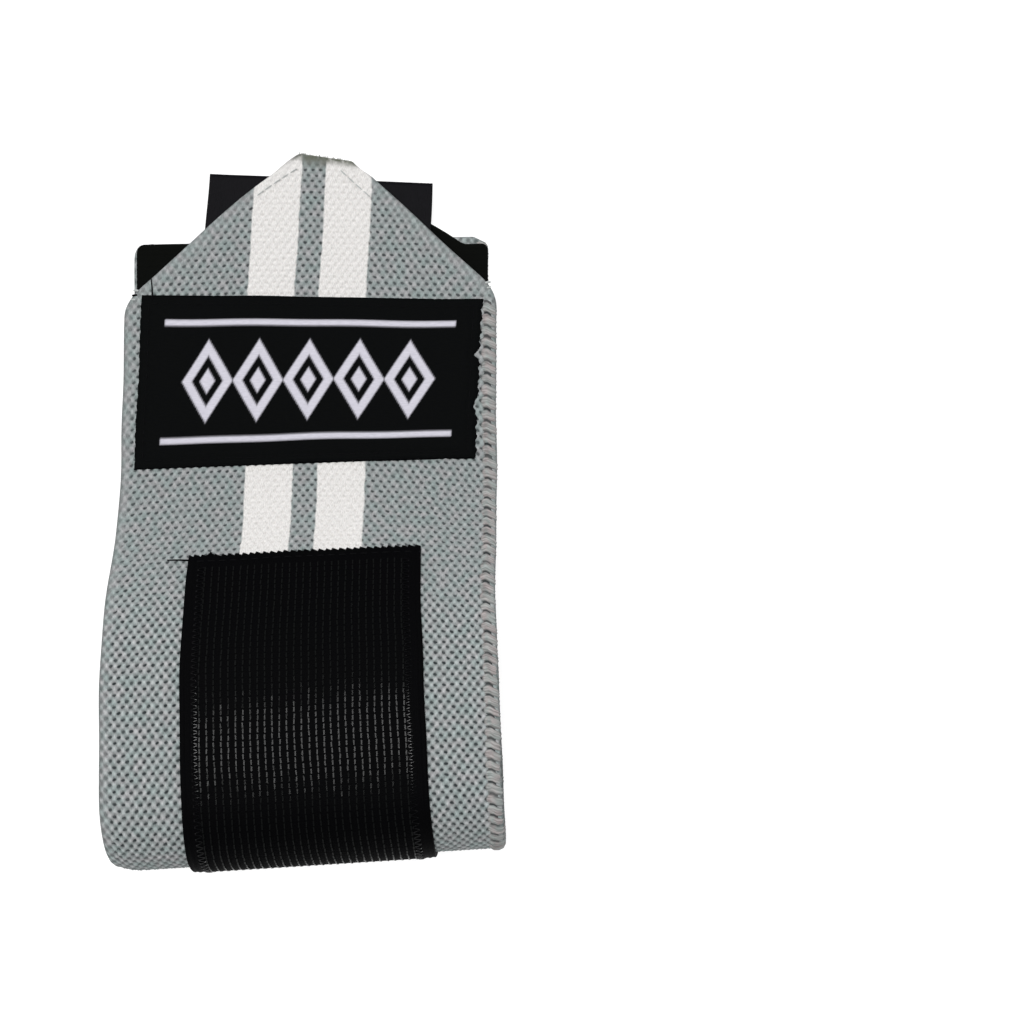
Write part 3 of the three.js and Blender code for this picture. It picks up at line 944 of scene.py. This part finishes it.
def loop_pile(material):
    """Pile under the loop tape: small half-round loops in staggered rows, each turned a random way."""
    rows = int((LOOP_TAPE["length"] - 4) / PILE_PITCH)
    columns = int((LOOP_TAPE["width"] - 6) / PILE_PITCH)
    row, column = numbers(rows, columns)
    own_across = (column - (columns - 1) / 2 + 0.5 * (row % 2) - 0.25) * PILE_PITCH
    share = (row * PILE_PITCH + 2.0) / LOOP_TAPE["length"]
    across, along = sewn_place(LOOP_TAPE, own_across, share)
    turn = random.uniform(0, 2 * np.pi, row.shape)
    angle = np.linspace(0, np.pi, 6)
    seat = -inner_depth(along) - GAP - 0.5
    reach = PILE_HALF_LOOP * np.cos(angle)
    across = across + reach * np.cos(turn)
    along = along + reach * np.sin(turn)
    out = seat - PILE_HEIGHT * np.sin(angle) * random.uniform(0.8, 1.1, row.shape)
    points = threads(across, along, out, PILE_RADIUS, 4, (0.3, 0.2, 1))
    return make_piece("loop_pile", points, material)


def strap_bow(across):
    """How far the thumb loop's middle bows out past the far end: a parabola over its free span, eased in on
    its left."""
    share = np.clip((across - STRAP_BOW_SHIFT) / STRAP_BOW_SPAN + 0.5, 0, 1)
    return 4 * STRAP_BOW * share * (1 - share) * smoothstep(share, -0.02, 0.15)


def thumb_loop(material):
    """The thumb loop: an elastic strap with lengthwise ribs, flat on the far end and bowed in its middle. Its
    outer corners are round, and on the right it reaches the band's edge."""
    left = STRAP_INSET - END_WIDTH / 2
    right = END_WIDTH / 2 - 0.1
    corners = np.linspace(0, STRAP_CORNER, 12)
    long = np.unique(np.concatenate([left + corners, np.linspace(left, right, 77), right - corners]))
    share, across = np.meshgrid(np.linspace(0, 1, 65), long)
    from_corner = np.clip(np.minimum(across - left, right - across) / STRAP_CORNER, 0, 1)
    cut = STRAP_CORNER * (1 - np.sqrt(1 - (1 - from_corner) ** 2))
    own_wide = blend(cut, STRAP_WIDTH, share)
    along = STRAP_INSET + own_wide - strap_bow(across)
    seat = BAND_THICK / 2 + GAP
    top = -seat - STRAP_THICK + 0.06 * np.cos(2 * np.pi * own_wide / 1.25)
    ring_along, ring_across, out = cloth_rings(along, across, top, -seat + 0.2, 0.25, 9)
    uv = np.stack([ring_across, ring_along + strap_bow(ring_across)], axis=-1)
    made = make_piece("thumb_strap", on_band(ring_across, ring_along, out), material, uv)
    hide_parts("thumb_loop")
    return made


def outline_of(size, inset):
    """Corners of the line at a distance inside the edge of a sewn piece, and back to the first."""
    half = size["width"] / 2 - inset
    near = 1 - inset / size["length"]
    own_across = np.array([-half, half, half, -half, -half])
    share = np.array([near, near, 1 - near, 1 - near, near])
    return np.stack(sewn_place(size, own_across, share), axis=-1)


def grey_stitches(material):
    """Grey thread: a row across each white stripe beside the tip's end."""
    rows = BAND_LENGTH - np.linspace(8.6, 2.5, 12)
    share = np.linspace(0, 1, 12)
    stitched = []
    for side, low_inset, high_inset in ((-1, 3.5, 4.2), (1, 5.4, 5.6)):
        across = side * (band_half(rows, side) - blend(low_inset, high_inset, share))
        stitched.append(seam(np.stack([across, rows], axis=-1), BAND_THICK / 2 - 0.05, 2.3, 0.13))
    return make_piece("grey_stitches", np.concatenate(stitched), material)


def black_stitches(material):
    """Black thread round the label and across the hook tape's end."""
    face = BAND_THICK / 2
    stitched = [
        seam(outline_of(LABEL, LABEL_SEAM), face + 0.12, 2.4, 0.12),
        seam(outline_of(HOOK_TAPE, 1.3)[:2], face + TAPE_GROUND - 0.1, 2.2, 0.15),
    ]
    return make_piece("black_stitches", np.concatenate(stitched), material)


def zigzag_stitches(material):
    """Glossy thread in a zigzag down each side of the hook tape, its stitches pressed flat."""
    corners = outline_of(HOOK_TAPE, 2.8)
    height = BAND_THICK / 2 + TAPE_GROUND + 0.05
    stitched = [seam(line, height, 0.6, 0.12, 0.75) for line in (corners[1:3], corners[3:])]
    return make_piece("zigzag_stitches", np.concatenate(stitched), material, smooth=False)


def loose_ends(rows, material, name):
    """Cut thread ends that lie on the cloth. Each row gives the start across, the start along, the direction
    in degrees, the length, the sideways curl, the height and the radius; an end curls with the square of the
    way and thins out."""
    rows = np.array(rows, dtype=float)[:, :, None]
    start_across, start_along, direction, length, curl, height, radius = rows.transpose(1, 0, 2)
    step = np.linspace(0, 1, 9)
    angle = np.radians(direction)
    ahead = length * step
    aside = curl * step**2
    across = start_across + ahead * np.cos(angle) - aside * np.sin(angle)
    along = start_along + ahead * np.sin(angle) + aside * np.cos(angle)
    out = height + 0.15 * np.sin(np.pi * step) + np.zeros_like(across)
    points = threads(across, along, out, radius * (1 - 0.4 * step), 6, (0, 0, 1))
    return make_piece(name, points, material)


def frayed_tip(material):
    """Short cut fibres at the blunt end of the tip, each leaning its own way."""
    half = TIP_END_WIDTH / 2 - 0.5
    across = TIP_ASIDE + random.uniform(-half, half, (FIBRES, 1))
    lean = random.uniform(-0.5, 0.5, (FIBRES, 1))
    rise = random.uniform(-0.5, 0.4, (FIBRES, 1))
    length = random.uniform(0.1, 0.55, (FIBRES, 1))
    level = random.uniform(-2.0, 0.8, (FIBRES, 1))
    step = np.linspace(0, 1, 4)
    path_across = across + lean * length * step**2
    path_along = BAND_LENGTH + tip_cut(across) - 0.5 + (length + 0.5) * step
    out = level + rise * length * step**2
    thick = 0.09 * (1 - 0.5 * step) + np.zeros_like(out)
    points = threads(path_across, path_along, out, thick, 4, (0, 0, 1))
    return make_piece("frayed_tip", points, material)


# Build

webbing = webbing_material()
edge_yarn = edge_yarn_material()
damask = label_material()
nylon_ground = black_tape_material("woven_nylon_tape", "#030304", "#070708", 0.55, 0.01, (0.4, 0.25))
nylon_hook = thread_material("nylon_monofilament", "#0e0f0f", "#131414", 0.14, 0.04)
satin_back = black_tape_material("satin_woven_tape", "#08080a", "#111014", 0.6, 0.05, (0.3, 1.2))
elastic = black_tape_material("black_rubber_elastic", "#040504", "#090a08", 0.8, 0.04, (0.9, 0.3))
grey_thread = thread_material("grey_polyester_thread", "#a2a6a5", "#b4b7b6", 0.85, 0.1)
olive_fibre = thread_material("cut_polyester_fibre", "#53574d", "#74776c", 0.9, 0.1)
glossy_thread = thread_material("glossy_nylon_thread", "#060607", "#0a0a0c", 0.14, 0.1)
black_thread = thread_material("black_polyester_thread", "#040405", "#0a0a0c", 0.75, 0.05)

band_piece = wrap_band(webbing)
rib_piece = edge_ribs(edge_yarn)
label_piece = label(damask)
hook_piece = hook_tape(nylon_ground)
hooks_piece = hooks(nylon_hook)
loop_piece = loop_tape(satin_back)
pile_piece = loop_pile(satin_back)
strap_piece = thumb_loop(elastic)
grey_piece = grey_stitches(grey_thread)
black_piece = black_stitches(black_thread)
zigzag_piece = zigzag_stitches(glossy_thread)
fray_piece = frayed_tip(olive_fibre)

# Start across, start along, direction, length, curl, height, radius
black_ends = [
    (-22.9, BAND_LENGTH - 88.9, 180, 5.2, 0.0, 1.15, 0.22),
    (-33.6, BAND_LENGTH - 31.2, 90, 5.0, 0.5, 1.15, 0.18),
    (-37.0, BAND_LENGTH - 29.9, 172, 1.0, 0.2, 0.8, 0.3),
]
grey_ends = [
    (-36.8, BAND_LENGTH - 29.0, 155, 0.9, 0.2, 0.9, 0.3),
    (-37.4, BAND_LENGTH - 30.8, 190, 0.8, -0.2, 0.8, 0.26),
    (37.2, BAND_LENGTH - 27.4, 25, 1.0, -0.2, 0.9, 0.3),
    (37.6, BAND_LENGTH - 28.4, 5, 0.7, 0.2, 0.8, 0.26),
]
black_end_piece = loose_ends(black_ends, black_thread, "black_thread_ends")
grey_end_piece = loose_ends(grey_ends, grey_thread, "grey_thread_ends")


# Stage

# Table, in metres
TABLE_REACH = 3.0
TABLE_FLAT = 1.8
TABLE_RIM = 0.9


def floor():
    """A lit white table, a grid that is flat round the wrap and rises with the distance to a low rim far off,
    so that low views end on white too. Its own light washes out the shadows."""
    side = np.linspace(-TABLE_REACH, TABLE_REACH, 61)
    x, y = np.meshgrid(side, side)
    z = TABLE_RIM * smoothstep(np.hypot(x, y), TABLE_FLAT, TABLE_REACH)
    points = np.stack([x, y, z], axis=-1).reshape(-1, 3)
    index = np.arange(len(points)).reshape(x.shape)
    quads = np.stack([index[:-1, :-1], index[:-1, 1:], index[1:, 1:], index[1:, :-1]], axis=-1).reshape(-1, 4)
    mesh = bpy.data.meshes.new("table")
    mesh.from_pydata(points.tolist(), [], quads.tolist())
    painted, tree, shader = new_material(
        "backlit_white_acrylic", Roughness=0.8, Specular_IOR_Level=0.1, Emission_Strength=0.9
    )
    place = node(tree, "TexCoord")
    cloud = node(tree, "TexNoise", {"Vector": place.outputs["Object"], "Scale": 6.0})
    colour = node(
        tree, "Mix", {"Factor": cloud, "A": tone("#7d7d7d"), "B": tone("#818181")}, data_type="RGBA"
    )
    tree.links.new(colour.outputs[2], shader.inputs["Base Color"])
    mesh.materials.append(painted)
    made = bpy.data.objects.new("table", mesh)
    bpy.context.collection.objects.link(made)


def aim(thing, place, target):
    """Sets a camera or light at a place, looking at a target with +Y upwards in its view."""
    thing.location = Vector(place)
    thing.rotation_euler = (Vector(target) - Vector(place)).to_track_quat("-Z", "Y").to_euler()


def soft_light(name, azimuth, elevation, distance, size, power):
    """A square soft light that looks at the wrap from a direction in degrees, its azimuth measured from -Y
    towards +X. Its distance and size are in metres and its power is in watts."""
    lamp = bpy.data.lights.new(name, "AREA")
    lamp.size = size
    lamp.energy = power
    made = bpy.data.objects.new(name, lamp)
    bpy.context.collection.objects.link(made)
    around, up = math.radians(azimuth), math.radians(elevation)
    away = Vector((math.sin(around) * math.cos(up), -math.cos(around) * math.cos(up), math.sin(up)))
    aim(made, away * distance, (0, 0, 0))


floor()
soft_light("key_light", 218, 81.5, 1.2, 0.4, 12.8)
soft_light("left_light", 237, 45, 1.3, 0.9, 2.8)
soft_light("right_light", 125, 45, 1.3, 0.9, 3.0)

scene = bpy.context.scene
world = bpy.data.worlds.new("pale_room")
world.use_nodes = True
world.node_tree.nodes["Background"].inputs["Color"].default_value = (1, 1, 1, 1)
world.node_tree.nodes["Background"].inputs["Strength"].default_value = 0.13
scene.world = world
scene.view_settings.view_transform = "Standard"

lens = bpy.data.cameras.new("camera")
lens.sensor_width = SENSOR_WIDTH
lens.lens = CAMERA_SCALE * CAMERA_DISTANCE / IMAGE_WIDTH * SENSOR_WIDTH
lens.clip_start = 0.01
camera = bpy.data.objects.new("camera", lens)
bpy.context.collection.objects.link(camera)
away = np.array([0, -math.cos(CAMERA_ELEVATION), math.sin(CAMERA_ELEVATION)]) * CAMERA_DISTANCE
aim(camera, (CAMERA_TARGET + away) / 1000, CAMERA_TARGET / 1000)
scene.camera = camera
